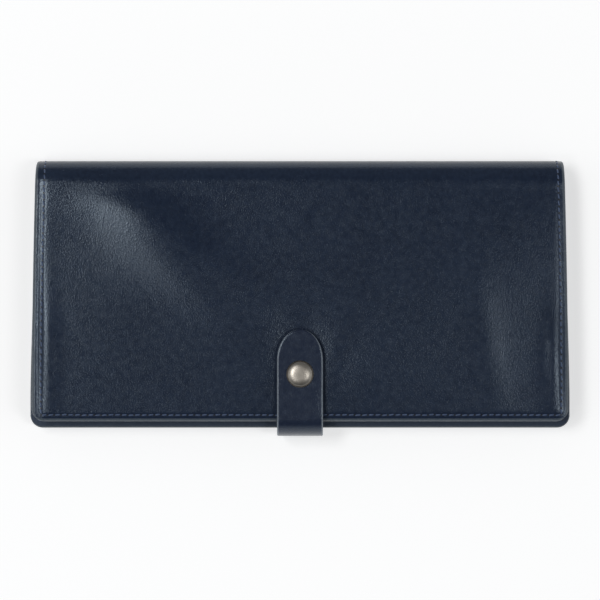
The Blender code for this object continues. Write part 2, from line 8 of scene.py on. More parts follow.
import bmesh
import bpy
import numpy as np
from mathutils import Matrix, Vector


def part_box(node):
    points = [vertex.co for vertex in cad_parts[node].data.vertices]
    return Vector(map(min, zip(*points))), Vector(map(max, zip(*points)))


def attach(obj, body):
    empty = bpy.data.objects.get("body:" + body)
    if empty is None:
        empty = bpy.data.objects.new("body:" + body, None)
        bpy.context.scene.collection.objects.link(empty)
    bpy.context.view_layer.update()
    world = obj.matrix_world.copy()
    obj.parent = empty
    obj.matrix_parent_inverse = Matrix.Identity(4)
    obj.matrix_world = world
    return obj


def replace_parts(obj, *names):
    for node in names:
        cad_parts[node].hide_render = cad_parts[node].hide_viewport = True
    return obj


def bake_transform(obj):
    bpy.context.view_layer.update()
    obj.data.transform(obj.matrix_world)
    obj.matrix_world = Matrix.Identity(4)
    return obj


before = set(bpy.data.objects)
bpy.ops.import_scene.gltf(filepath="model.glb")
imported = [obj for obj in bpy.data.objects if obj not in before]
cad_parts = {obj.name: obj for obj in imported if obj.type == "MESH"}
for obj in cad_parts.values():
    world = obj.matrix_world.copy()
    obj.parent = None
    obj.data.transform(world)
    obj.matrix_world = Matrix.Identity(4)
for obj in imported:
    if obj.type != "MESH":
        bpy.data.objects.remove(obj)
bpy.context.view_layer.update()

MM = 0.001
RNG = np.random.default_rng(7)

# Places read from the CAD model
COVER_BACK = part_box("cover_back")
COVER_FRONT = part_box("cover_front")
COVER_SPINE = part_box("cover_spine")
STRAP_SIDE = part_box("strap_side")
STRAP_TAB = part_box("strap_tab")
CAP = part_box("snap_cap")
TOP_Z = COVER_FRONT[1].z
BACK_EDGE_Y = COVER_BACK[0].y
FRONT_EDGE_Y = COVER_FRONT[0].y
SPINE_Y = COVER_SPINE[1].y
SPINE_RADIUS = TOP_Z / 2
TURN_Y = SPINE_Y - SPINE_RADIUS
BACK_HALF = COVER_BACK[1].x
FRONT_HALF = COVER_FRONT[1].x
SPINE_HALF = COVER_SPINE[1].x
SNAP_Y = (CAP[0].y + CAP[1].y) / 2

# Outer leather
COVER = 1.2 * MM
EDGE_RADIUS = 1.0 * MM
UNDER_RADIUS = 0.15 * MM
BURNISHED = 1.0 * MM
LEAF_CORNER = 4.5 * MM
WIDEST_Y = -35 * MM
LEFT_INSET = 3.3 * MM
RIGHT_INSET = 2.5 * MM
FREE_INSET = 2.3 * MM
STITCH_PITCH = 2.4 * MM


# ---------------------------------------------------------------- materials


WAVE_RADIANS = 20  # a wave texture's phase per metre at a scale of 1


class Nodes:
    """A material's node tree, with short calls for the nodes that the recipes below use."""

    def __init__(self, name):
        self.material = bpy.data.materials.new(name)
        self.material.use_nodes = True
        self.tree = self.material.node_tree
        self.shader = self.tree.nodes["Principled BSDF"]
        self.coords = self.add("ShaderNodeTexCoord").outputs["Object"]

    def add(self, kind, **settings):
        node = self.tree.nodes.new(kind)
        for key, value in settings.items():
            setattr(node, key, value)
        return node

    def link(self, output, socket):
        self.tree.links.new(output, socket)

    def stretched(self, scale):
        mapping = self.add("ShaderNodeMapping")
        mapping.inputs["Scale"].default_value = scale
        self.link(self.coords, mapping.inputs["Vector"])
        return mapping.outputs["Vector"]

    def noise(self, scale, detail=2.0, stretch=(1, 1, 1)):
        node = self.add("ShaderNodeTexNoise")
        node.inputs["Scale"].default_value = scale
        node.inputs["Detail"].default_value = detail
        self.link(self.stretched(stretch), node.inputs["Vector"])
        return node.outputs["Fac"]

    def cells(self, scale, stretch=(1, 1, 1)):
        node = self.add("ShaderNodeTexVoronoi")
        node.inputs["Scale"].default_value = scale
        self.link(self.stretched(stretch), node.inputs["Vector"])
        return node.outputs["Distance"]

    def ramp(self, factor, stops):
        node = self.add("ShaderNodeValToRGB")
        ramp = node.color_ramp
        while len(ramp.elements) < len(stops):
            ramp.elements.new(0.5)
        for element, (place, colour) in zip(ramp.elements, stops):
            element.position = place
            element.color = (*colour, 1.0)
        self.link(factor, node.inputs["Fac"])
        return node.outputs["Color"]

    def span(self, factor, low, high, out_low, out_high):
        node = self.add("ShaderNodeMapRange")
        for socket, value in zip(node.inputs[1:5], (low, high, out_low, out_high)):
            socket.default_value = value
        self.link(factor, node.inputs["Value"])
        return node.outputs["Result"]

    def maths(self, operation, a, b):
        node = self.add("ShaderNodeMath", operation=operation)
        for socket, value in zip(node.inputs, (a, b)):
            if isinstance(value, (int, float)):
                socket.default_value = value
            else:
                self.link(value, socket)
        return node.outputs["Value"]

    def bump(self, height, strength, distance, below=None):
        node = self.add("ShaderNodeBump")
        node.inputs["Strength"].default_value = strength
        node.inputs["Distance"].default_value = distance
        self.link(height, node.inputs["Height"])
        if below is not None:
            self.link(below, node.inputs["Normal"])
        return node.outputs["Normal"]

    def finish(self, colour=None, roughness=None, normal=None, **fixed):
        if colour is not None:
            self.link(colour, self.shader.inputs["Base Color"])
        if roughness is not None:
            self.link(roughness, self.shader.inputs["Roughness"])
        if normal is not None:
            self.link(normal, self.shader.inputs["Normal"])
        for key, value in fixed.items():
            self.shader.inputs[key.replace("_", " ")].default_value = value
        return self.material


def leather(name, dark, light, rough=(0.20, 0.28), grain=1.0, sheen=(0.74, 0.88, 1.0)):
    """Smooth glazed leather: a faintly clouded colour, fine pores and a short fibre across the wallet."""
    n = Nodes(name)
    clouds = n.noise(60, 2)
    mottle = n.noise(900, 4, (1, 0.7, 1))
    mixed = n.maths("ADD", n.maths("MULTIPLY", clouds, 0.3), n.maths("MULTIPLY", mottle, 0.7))
    colour = n.ramp(mixed, [(0.32, dark), (0.68, light)])
    pores = n.cells(2000, (1, 0.75, 1))
    fibre = n.noise(1700, 3, (1.3, 0.75, 1))
    height = n.maths("ADD", n.maths("MULTIPLY", pores, 0.6), fibre)
    gloss = n.span(n.noise(420, 3), 0.3, 0.7, *rough)
    fine = n.bump(height, 0.40 * grain, 0.10 * MM)
    wide = n.bump(n.noise(160, 2), 0.05 * grain, 0.8 * MM, fine)
    return n.finish(colour, gloss, wide, Specular_Tint=(*sheen, 1.0))


def burnished(name, dark, light):
    """A cut edge, dyed and rubbed smooth, with the layers' lines along it."""
    n = Nodes(name)
    colour = n.ramp(n.noise(1800, 3), [(0.3, dark), (0.7, light)])
    normal = n.bump(n.noise(2600, 2, (0.25, 0.25, 1)), 0.25, 0.1 * MM)
    gloss = n.span(n.noise(500, 2), 0.3, 0.7, 0.32, 0.5)
    return n.finish(colour, gloss, normal)


def metal(name, dark, light, rough, brushed=(1, 1, 1), worn=0.05):
    """Plated metal, with a darker tarnish where it isn't rubbed and very fine scratches."""
    n = Nodes(name)
    colour = n.ramp(n.noise(420, 3), [(0.25, dark), (0.6, light)])
    gloss = n.span(n.noise(900, 3), 0.3, 0.7, *rough)
    normal = n.bump(n.noise(2400, 2, brushed), worn, 0.03 * MM)
    return n.finish(colour, gloss, normal, Metallic=1.0)


def antique_dome_with_painted_shade(name, rim_z, top_z):
    """The cap's antique finish with painted shade: dark brown down at its rim, partly tarnish and partly
    painted shade, and rubbed bright on top.
    """
    n = Nodes(name)
    split = n.add("ShaderNodeSeparateXYZ")
    n.link(n.coords, split.inputs["Vector"])
    height = n.span(split.outputs["Z"], rim_z, top_z, 0.0, 0.8)
    worn = n.maths("ADD", height, n.maths("MULTIPLY", n.noise(300, 2), 0.2))
    # Colour by height: the dark rim colour is tarnish and also painted shade for the darker reflections at
    # the cap's edge.
    rim_tarnish_and_painted_shade, lower_wear_and_painted_shade, rubbed = (0.080, 0.053, 0.036), (0.30, 0.26, 0.21), (0.38, 0.35, 0.31)
    stops = [(0.05, rim_tarnish_and_painted_shade), (0.26, lower_wear_and_painted_shade), (0.60, rubbed)]
    gloss = n.span(n.noise(500, 2), 0.3, 0.7, 0.33, 0.39)
    normal = n.bump(n.noise(1800, 2), 0.008, 0.03 * MM)
    return n.finish(n.ramp(worn, stops), gloss, normal, Metallic=1.0)


def cloth(name, dark, light, threads_per_mm):
    """A plain weave: two crossed sets of threads, with a wave for each pair of threads."""
    n = Nodes(name)
    threads = []
    for direction in ("X", "Y"):
        wave = n.add("ShaderNodeTexWave", wave_type="BANDS", bands_direction=direction, wave_profile="SIN")
        wave.inputs["Scale"].default_value = threads_per_mm * 1000 * math.pi / WAVE_RADIANS
        n.link(n.coords, wave.inputs["Vector"])
        threads.append(wave.outputs["Fac"])
    weave = n.maths("MULTIPLY", threads[0], threads[1])
    shade = n.maths("ADD", n.maths("MULTIPLY", weave, 0.6), n.maths("MULTIPLY", n.noise(1200, 3), 0.5))
    colour = n.ramp(shade, [(0.25, dark), (0.75, light)])
    normal = n.bump(weave, 0.5, 0.12 * MM)
    return n.finish(colour, None, normal, Roughness=0.85, Sheen_Weight=0.25, Sheen_Roughness=0.4)


def thread_material(name, dark, light):
    """Waxed sewing thread: the twist shows as slanting ridges."""
    n = Nodes(name)
    colour = n.ramp(n.noise(2200, 3), [(0.3, dark), (0.7, light)])
    twist = n.noise(3200, 1, (1, 0.5, 1))
    return n.finish(colour, None, n.bump(twist, 0.4, 0.08 * MM), Roughness=0.5, Sheen_Weight=0.2)


NAVY = leather("navy_leather", (0.0080, 0.0138, 0.0320), (0.0155, 0.0255, 0.0520))
STRAP_NAVY = leather("strap_leather", (0.0110, 0.0165, 0.0370), (0.0180, 0.0265, 0.0530), grain=0.8)
INNER_NAVY = leather("inner_leather", (0.0130, 0.0200, 0.0430), (0.0220, 0.0320, 0.0620), (0.38, 0.5))
EDGE = burnished("burnished_edge", (0.048, 0.066, 0.088), (0.088, 0.110, 0.138))
STRAP_EDGE = burnished("strap_edge", (0.125, 0.150, 0.185), (0.200, 0.235, 0.280))
INNER_EDGE = burnished("inner_edge", (0.055, 0.075, 0.095), (0.100, 0.125, 0.150))
FLESH = leather("leather_underside", (0.016, 0.022, 0.038), (0.030, 0.038, 0.058), (0.75, 0.9), 1.6)
THREAD = thread_material("navy_thread", (0.035, 0.060, 0.130), (0.075, 0.115, 0.210))
# Near-black painted shade that stands in for the dark inside each needle hole.
HOLE_SHADE = burnished("needle_hole_shade", (0.0015, 0.002, 0.004), (0.003, 0.004, 0.008))
LINING = cloth("lining_cloth", (0.010, 0.014, 0.026), (0.022, 0.029, 0.048), 2.2)
TAPE = cloth("zip_tape", (0.006, 0.009, 0.018), (0.016, 0.022, 0.040), 1.6)
NICKEL = metal("antique_nickel", (0.30, 0.255, 0.21), (0.62, 0.57, 0.50), (0.24, 0.36), (1, 1, 1))
ZIP_METAL = metal("zip_metal", (0.42, 0.38, 0.32), (0.66, 0.61, 0.53), (0.24, 0.34), (0.3, 1, 1))
SPRING = metal("spring_steel", (0.42, 0.42, 0.42), (0.60, 0.60, 0.61), (0.2, 0.3))
BOARD = burnished("leather_board", (0.14, 0.10, 0.07), (0.24, 0.18, 0.13))


# ---------------------------------------------------------------- sheets of leather and cloth


def add_mesh(name, points, faces, materials, face_slots=None):
    mesh = bpy.data.meshes.new(name)
    mesh.from_pydata([tuple(p) for p in points], [], [tuple(f) for f in faces])
    for material in materials:
        mesh.materials.append(material)
    if face_slots is not None:
        mesh.polygons.foreach_set("material_index", np.array(face_slots, dtype=np.int32))
    mesh.validate()
    mesh.shade_smooth()
    mesh.set_sharp_from_angle(angle=math.radians(50))
    obj = bpy.data.objects.new(name, mesh)
    bpy.context.scene.collection.objects.link(obj)
    return obj


def from_edge(limit, coarse, fine_until=5 * MM, radius=EDGE_RADIUS):
    """Distances in from an edge: close together over its rounding and the stitches, then wider apart."""
    distances = [radius * (1 - math.cos(math.radians(a))) for a in (0, 25, 45, 65, 90)]
    step = 0.35 * MM
    while distances[-1] < limit:
        distances.append(distances[-1] + step)
        if distances[-1] > fine_until:
            step = min(coarse, step * 1.35)
    return np.array(distances[:-1])


def middle_out(first, last, step):
    """Evenly spaced values strictly between first and last."""
    count = max(2, int(round((last - first) / step)))
    return first + (last - first) * np.arange(1, count) / count


def rounding(distance, radius=EDGE_RADIUS):
    """How far a face drops at this distance in from a rounded edge."""
    d = np.clip(radius - distance, 0, radius)
    return radius - np.sqrt(radius**2 - d**2)


class Sheet:
    """A sheet along a path from s = 0 (an edge) to s = length, as wide as half(y) either side of X = 0.

    path(s) gives y, z and the outward normal's y, z. swell(x, x_in, s) gives how far the face stands
    out of the path, where x_in is the distance in from the nearer side edge.
    """

    def __init__(self, path, length, half, swell, thickness, corner, far_corner=None, radius=EDGE_RADIUS):
        self.path, self.length, self.half, self.swell = path, length, half, swell
        self.thickness, self.corner, self.far_corner, self.radius = thickness, corner, far_corner, radius
        self.burnished = min(BURNISHED, radius)

    def place(self, x_in, side, s, lift=0.0):
        """The point this far in from a side edge (side is -1 or 1) and this far along, lifted by lift."""
        x_in, side, s = np.broadcast_arrays(np.asarray(x_in, float), side, np.asarray(s, float))
        stand = self.swell(side * (self.half(self.path(s)[0]) - x_in), x_in, s) + lift
        x_round, s_round = x_in.copy(), s.copy()
        self._round(x_in, s, x_round, s_round, self.corner, False)
        if self.far_corner:
            self._round(x_in, s, x_round, s_round, self.far_corner, True)
        y, z, normal_y, normal_z = self.path(s_round)
        x = side * (self.half(y) - x_round)
        return np.stack([x, y + normal_y * stand, z + normal_z * stand], axis=-1)

    def _round(self, x_in, s, x_round, s_round, radius, far):
        """Bends the square corner's lines into a quarter circle of this radius."""
        along = self.length - s if far else s
        inside = (x_in < radius) & (along < radius)
        a, b = 1 - x_in[inside] / radius, 1 - along[inside] / radius
        x_round[inside] = radius * (1 - a * np.sqrt(1 - b**2 / 2))
        bent = radius * (1 - b * np.sqrt(1 - a**2 / 2))
        s_round[inside] = self.length - bent if far else bent

    def edge_distance(self, x_in, s):
        ends = np.minimum(x_in, s)
        return np.minimum(ends, self.length - s) if self.far_corner else ends

    def mesh(self, name, materials, columns, rows, window=None):
        """Outer face, inner face and rim. materials: face, edge, underside."""
        middle = self.half(0.0)
        x_in = np.concatenate([columns, middle_out(columns[-1], middle, 3 * MM), [middle]])
        count = len(x_in)
        x_all = np.concatenate([x_in, x_in[-2::-1]])
        sides = np.concatenate([-np.ones(count), np.ones(count - 1)])
        grid_x, grid_s = np.meshgrid(x_all, rows)
        grid_side = np.broadcast_to(sides, grid_x.shape)
        narrow = self.half(self.path(grid_s)[0])
        past = columns[-1]
        grid_x = np.where(grid_x > past, past + (grid_x - past) * (narrow - past) / (middle - past), grid_x)
        gap = self.edge_distance(grid_x, grid_s)
        outer = self.place(grid_x, grid_side, grid_s, -rounding(gap, self.radius))
        inner = self.place(grid_x, grid_side, grid_s, -self.thickness + rounding(gap, UNDER_RADIUS))
        wide, high = len(x_all), len(rows)
        points = np.concatenate([outer.reshape(-1, 3), inner.reshape(-1, 3)])
        faces, slots = [], []
        hole = window(outer) if window else np.zeros(gap.shape, bool)
        size = wide * high
        flip = self._flipped(outer)
        borders = {}
        for j in range(high - 1):
            for i in range(wide - 1):
                corners = ((j, i), (j, i + 1), (j + 1, i + 1), (j + 1, i))
                if all(hole[c] for c in corners):
                    continue
                quad = [r * wide + c for r, c in corners]
                is_edge = gap[j : j + 2, i : i + 2].mean() < self.burnished
                low = [q + size for q in quad]
                faces.append(quad[::-1] if flip else quad)
                slots.append(1 if is_edge else 0)
                faces.append(low if flip else low[::-1])
                slots.append(1 if is_edge else 2)
                for a, b in zip(quad, quad[1:] + quad[:1]):
                    if (b, a) in borders:
                        del borders[(b, a)]
                    else:
                        borders[(a, b)] = True
        for a, b in borders:
            rim = [b, a, a + size, b + size]
            faces.append(rim[::-1] if flip else rim)
            slots.append(1)
        return add_mesh(name, points, faces, materials, slots)

    def _flipped(self, outer):
        a, b, c = outer[2, 2], outer[2, 3], outer[3, 2]
        normal = np.cross(b - a, c - a)
        _, _, normal_y, normal_z = self.path(np.array([self.length * 0.1]))
        return normal[1] * normal_y[0] + normal[2] * normal_z[0] < 0


# ---------------------------------------------------------------- the two leaves' outer leather


def towards_spine(y):
    return np.clip((y - WIDEST_Y) / (SPINE_Y - WIDEST_Y), 0, 1)


def back_half(y):
    narrowing = (BACK_HALF - SPINE_HALF) / towards_spine(COVER_SPINE[0].y) ** 1.3
    return BACK_HALF - narrowing * towards_spine(y) ** 1.3


def front_half(y):
    return back_half(y) - (BACK_HALF - FRONT_HALF) * (1 - towards_spine(y))


def leaf_path(edge_y, outward):
    """Flat from the free edge to the spine's turn, then a quarter circle to the middle of the spine."""
    flat = TURN_Y - edge_y

    def path(s):
        angle = np.clip(s - flat, 0, None) / SPINE_RADIUS
        y = np.where(s < flat, edge_y + s, TURN_Y + SPINE_RADIUS * np.sin(angle))
        rise = SPINE_RADIUS - SPINE_RADIUS * np.cos(angle)
        z = rise if outward < 0 else TOP_Z - rise
        return y, z, np.sin(angle), outward * np.cos(angle)

    return path, flat + SPINE_RADIUS * math.pi / 2


def border(distance, inset, width=1.25 * MM):
    """1 on the stitched border, a little more in the stitches' groove, and 0 well inside it."""
    inside = np.clip(distance - inset + 1.4 * MM, 0, None)
    groove = 0.22 * np.exp(-(((distance - inset) / (0.4 * MM)) ** 2))
    return np.exp(-((inside / width) ** 1.4)) + groove


def soft_ridge(x, y, centre, angle, across, along, height):
    """A smooth hump, long in one direction (degrees from +X)."""
    c, d = math.cos(math.radians(angle)), math.sin(math.radians(angle))
    u = (x - centre[0] * MM) * c + (y - centre[1] * MM) * d
    v = (y - centre[1] * MM) * c - (x - centre[0] * MM) * d
    return height * MM * np.exp(-((u / (along * MM)) ** 2) - (v / (across * MM)) ** 2)


# The cover's soft folds: centre, angle from +X, half width, half length and height, in mm and degrees
FOLDS = [
    ((-58, 25), -43, 12, 22, 1.15),
    ((-42, 15), -43, 11, 30, 1.2),
    ((67, -14), 98.7, 4.5, 26, 0.36),
    ((91, -20), 90, 3.4, 16, 0.62),
    ((-90, -20), 90, 3.0, 20, 0.50),
    ((11, -27), 68, 7, 14, 0.55),
]


def used_leather(x, s, edge_y):
    """The cover's faint waves, the dip under the strap, and its soft folds."""
    y = edge_y + s
    waves = 0.035 * MM * np.sin(x / (7.5 * MM) + 1.3 * np.sin(y / (16 * MM)))
    waves = waves + 0.04 * MM * np.sin(y / (8.5 * MM) + 1.7 * np.sin(x / (19 * MM)) + 0.8)
    waves = waves - 0.55 * MM * np.exp(-((x / (8.5 * MM)) ** 2)) * np.clip((4 * MM - y) / (14 * MM), 0, 1)
    for centre, angle, across, along, height in FOLDS:
        waves = waves + soft_ridge(x, y, centre, angle, across, along, height)
    return waves


def smooth_step(share):
    share = np.clip(share, 0, 1)
    return share * share * (3 - 2 * share)


def cover_swell(half, flat, length, edge_drop, bulge, edge_y=None):
    """The cover stands out between its sewn borders, and is drawn in at them.

    Where edge_y is given it has folds too, and eases down before the spine's turn.
    """

    def swell(x, x_in, s):
        turn = smooth_step((s - flat + 9 * MM) / (length - flat + 3 * MM))
        side = border(x_in, np.where(x < 0, LEFT_INSET, RIGHT_INSET)) * (1 - 0.55 * turn)
        free = border(s, FREE_INSET)
        drawn = 1 - (1 - np.clip(side, 0, 1)) * (1 - np.clip(free, 0, 1))
        grooves = np.clip(side - 1, 0, None) + np.clip(free - 1, 0, None)
        across = 1 - np.clip(1 - x_in / half, 0, 1) ** 3
        share = np.clip(s / (flat * 1.03), 0, 1)
        along = np.where(share < 0.5, np.sin(math.pi * share) ** 0.8, 1 - smooth_step(2 * share - 1))
        rise = bulge * across * along
        if edge_y is not None:
            rise = rise + used_leather(x, s, edge_y) * (1 - drawn) * (1 - turn)
        shoulder = 0.45 * MM * np.exp(-(((s - flat) / (6 * MM)) ** 2)) if edge_y is not None else 0.0
        return rise - shoulder - edge_drop * (drawn + grooves)

    return swell


BACK_PATH, BACK_LENGTH = leaf_path(BACK_EDGE_Y, -1)
FRONT_PATH, FRONT_LENGTH = leaf_path(FRONT_EDGE_Y, 1)
BACK_FLAT, FRONT_FLAT = TURN_Y - BACK_EDGE_Y, TURN_Y - FRONT_EDGE_Y
BACK_SWELL = cover_swell(BACK_HALF, BACK_FLAT, BACK_LENGTH, 0.3 * MM, 0.0)
FRONT_SWELL = cover_swell(FRONT_HALF, FRONT_FLAT, FRONT_LENGTH, 0.5 * MM, 1.25 * MM, FRONT_EDGE_Y)
BACK = Sheet(BACK_PATH, BACK_LENGTH, back_half, BACK_SWELL, COVER, LEAF_CORNER)
FRONT = Sheet(FRONT_PATH, FRONT_LENGTH, front_half, FRONT_SWELL, COVER, LEAF_CORNER)


def bend_back(piece):
    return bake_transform(piece)


def bend_front(piece):
    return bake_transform(piece)


def leaf_rows(flat, length):
    """Rows from the free edge to mid-spine, close together at both ends."""
    edge = from_edge(10 * MM, 3 * MM)
    body = middle_out(edge[-1], flat - 4 * MM, 3 * MM)
    turn = middle_out(flat - 4 * MM, length - 0.9 * MM, 0.9 * MM)
    seam = length - np.array([0.9, 0.4, 0.15, 0.0]) * MM
    return np.concatenate([edge, body, [flat - 4 * MM], turn, seam])


def outer_leather():
    columns = from_edge(13 * MM, 3 * MM)
    skin = [NAVY, EDGE, FLESH]
    back = BACK.mesh("cover_leather_back", skin, columns, leaf_rows(BACK_FLAT, BACK_LENGTH))
    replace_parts(bend_back(back), "cover_back")
    front = FRONT.mesh("cover_leather_front", skin, columns, leaf_rows(FRONT_FLAT, FRONT_LENGTH))
    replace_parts(bend_front(front), "cover_front", "cover_spine")


# ---------------------------------------------------------------- stitches


def stitch_row(corners, pitch=STITCH_PITCH, wobble=0.05 * MM):
    """Centre, direction and pitch of each stitch on straight runs between (x from the middle, s) corners."""
    stitches = []
    for (x0, s0), (x1, s1) in zip(corners, corners[1:]):
        run = math.hypot(x1 - x0, s1 - s0)
        count = max(1, int(round(run / pitch)))
        for i in range(count):
            t = (i + 0.5) / count
            dx, ds = (x1 - x0) / run, (s1 - s0) / run
            aside = RNG.normal(0, wobble)
            centre = (x0 + (x1 - x0) * t - ds * aside, s0 + (s1 - s0) * t + dx * aside)
            stitches.append((centre, (dx, ds), run / count))
    return stitches


def from_middle(sheet, x, s, lift):
    """A sheet's point given by x from the middle."""
    y = sheet.path(s)[0]
    return sheet.place(np.clip(sheet.half(y) - np.abs(x), 0, None), np.where(x < 0, -1.0, 1.0), s, lift)


def thread(name, sheet, stitches, width=0.56 * MM, height=0.34 * MM, sunk=0.0, share=0.76, slant=7.0):
    """Raised stitches whose ends go down into the leather. sunk is how deep they are pulled in."""
    rings, sides = 6, 7
    points, faces = [], []
    for (x, s), (dx, ds), pitch in stitches:
        angle = math.radians(slant + RNG.normal(0, 2.0))
        ax, as_ = dx * math.cos(angle) - ds * math.sin(angle), ds * math.cos(angle) + dx * math.sin(angle)
        base = len(points) * rings * sides
        u = np.linspace(-1, 1, rings)[:, None]
        around = 2 * math.pi * np.arange(sides)[None, :] / sides
        taper = np.sqrt(np.clip(1 - (u * 0.93) ** 4, 0, 1))
        lateral = width / 2 * np.cos(around) * taper
        long = u * pitch * share / 2
        arch = 0.42 * np.cos(u * math.pi / 2) ** 0.6 + 0.5 * np.sin(around) * taper
        rise = height * (arch - 0.18) - sunk
        px, ps = x + ax * long - as_ * lateral, s + as_ * long + ax * lateral
        points.append(from_middle(sheet, px, ps, rise).reshape(-1, 3))
        for r in range(rings - 1):
            for k in range(sides):
                a, b = base + r * sides + k, base + r * sides + (k + 1) % sides
                faces.append((a, b, b + sides, a + sides))
        faces.append([base + k for k in range(sides)][::-1])
        faces.append([base + (rings - 1) * sides + k for k in range(sides)])
    obj = add_mesh(name, np.concatenate(points), faces, [THREAD])
    return recalculated(obj)


def hole_shade(name, sheet, stitches, radius=0.36 * MM, lift=0.03 * MM):
    """Painted shade at each needle hole between the stitches: a shallow near-black disc on the leather that
    stands in for the shade inside the hole.
    """
    sides = 8
    points, faces = [], []
    for (x, s), (dx, ds), pitch in stitches:
        hx, hs = x + dx * pitch / 2, s + ds * pitch / 2
        base = len(points) * (sides + 1)
        around = 2 * math.pi * np.arange(sides) / sides
        long, wide = radius * 1.15 * np.cos(around), radius * 0.8 * np.sin(around)
        px = np.append(hx + dx * long - ds * wide, hx)
        ps = np.append(hs + ds * long + dx * wide, hs)
        points.append(from_middle(sheet, px, ps, np.append(np.full(sides, lift / 3), lift)))
        faces += [(base + k, base + (k + 1) % sides, base + sides) for k in range(sides)]
    return add_mesh(name, np.concatenate(points), faces, [HOLE_SHADE])


def recalculated(obj):
    bm = bmesh.new()
    bm.from_mesh(obj.data)
    bmesh.ops.recalc_face_normals(bm, faces=bm.faces)
    bm.to_mesh(obj.data)
    bm.free()
    return obj


def leaf_seam(sheet, length):
    """The seam round a leaf: up to mid-spine on both sides, and along the free edge."""
    def half(s):
        return float(sheet.half(sheet.path(np.array([s]))[0])[0])

    steps = np.linspace(FREE_INSET, length, 9)
    left = [(LEFT_INSET - half(s), s) for s in steps[::-1]]
    right = [(half(s) - RIGHT_INSET, s) for s in steps]
    return stitch_row(left) + stitch_row([left[-1], right[0]]) + stitch_row(right)


def leaf_stitches():
    for sheet, length, bend, side in (
        (BACK, BACK_LENGTH, bend_back, "back"),
        (FRONT, FRONT_LENGTH, bend_front, "front"),
    ):
        stitches = leaf_seam(sheet, length)
        for piece in (
            thread(f"seam_thread_{side}", sheet, stitches),
            # Painted shade in each needle hole of this seam.
            hole_shade(f"seam_hole_shade_{side}", sheet, stitches),
        ):
            bend(piece)


def strap_anchor():
    """The box and cross that hold the strap's sewn end, on the back cover."""
    half, near, far = 6.2 * MM, 6 * MM, 24 * MM
    box = [(-half, near), (half, near), (half, far), (-half, far), (-half, near)]
    stitches = stitch_row(box) + stitch_row([box[0], box[2]]) + stitch_row([box[1], box[3]])
    tight = thread("strap_box_thread", BACK, stitches, height=0.2 * MM, sunk=0.08 * MM)
    # Painted shade in each needle hole of the strap's box stitching.
    for piece in (tight, hole_shade("strap_box_hole_shade", BACK, stitches)):
        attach(piece, "back_leaf")


# ---------------------------------------------------------------- strap


STRAP_HALF = STRAP_TAB[1].x
STRAP_THICK = 1.6 * MM
STRAP_OUT_Y = STRAP_SIDE[0].y
STRAP_TOP_Z = STRAP_TAB[1].z
STRAP_TIP_Y = STRAP_TAB[1].y
STRAP_BEND = BACK_EDGE_Y - STRAP_OUT_Y
STRAP_LOW_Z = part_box("strap_root")[0].z
STRAP_TIP = 11 * MM
STRAP_ROOT_IN = 2.0 * MM
STRAP_MIDDLE_Z = (STRAP_LOW_Z + STRAP_TOP_Z) / 2
STRAP_EASE = 6.5 * MM


def strap_curve():
    """Out of the seam, in a bow round the free edges and on to the front: distance along, y and z."""
    angles = np.radians(np.linspace(0, 90, 120))
    half_height = STRAP_TOP_Z - STRAP_MIDDLE_Z
    low_y = BACK_EDGE_Y - STRAP_BEND * np.sin(angles)
    low_z = STRAP_MIDDLE_Z - half_height * np.cos(angles)
    high_y = STRAP_OUT_Y + STRAP_EASE * (1 - np.cos(angles))
    high_z = STRAP_MIDDLE_Z + half_height * np.sin(angles)
    y = np.concatenate([[BACK_EDGE_Y + STRAP_ROOT_IN], low_y, high_y[1:], [STRAP_TIP_Y]])
    z = np.concatenate([[STRAP_LOW_Z], low_z, high_z[1:], [STRAP_TOP_Z]])
    steps = np.hypot(np.diff(y), np.diff(z))
    return np.concatenate([[0], np.cumsum(steps)]), y, z


CURVE_S, CURVE_Y, CURVE_Z = strap_curve()
STRAP_LENGTH = CURVE_S[-1]
STRAP_MIDDLE = float(np.interp(-STRAP_MIDDLE_Z, -CURVE_Z[::-1], CURVE_S[::-1]))


def strap_path(s):
    """The strap's outer face at this distance along it: y, z and the outward normal's y, z."""
    s = np.asarray(s, float)
    step = 0.25 * MM
    low, high = np.clip(s - step, 0, STRAP_LENGTH), np.clip(s + step, 0, STRAP_LENGTH)
    along_y = np.interp(high, CURVE_S, CURVE_Y) - np.interp(low, CURVE_S, CURVE_Y)
    along_z = np.interp(high, CURVE_S, CURVE_Z) - np.interp(low, CURVE_S, CURVE_Z)
    size = np.hypot(along_y, along_z)
    return np.interp(s, CURVE_S, CURVE_Y), np.interp(s, CURVE_S, CURVE_Z), -along_z / size, along_y / size


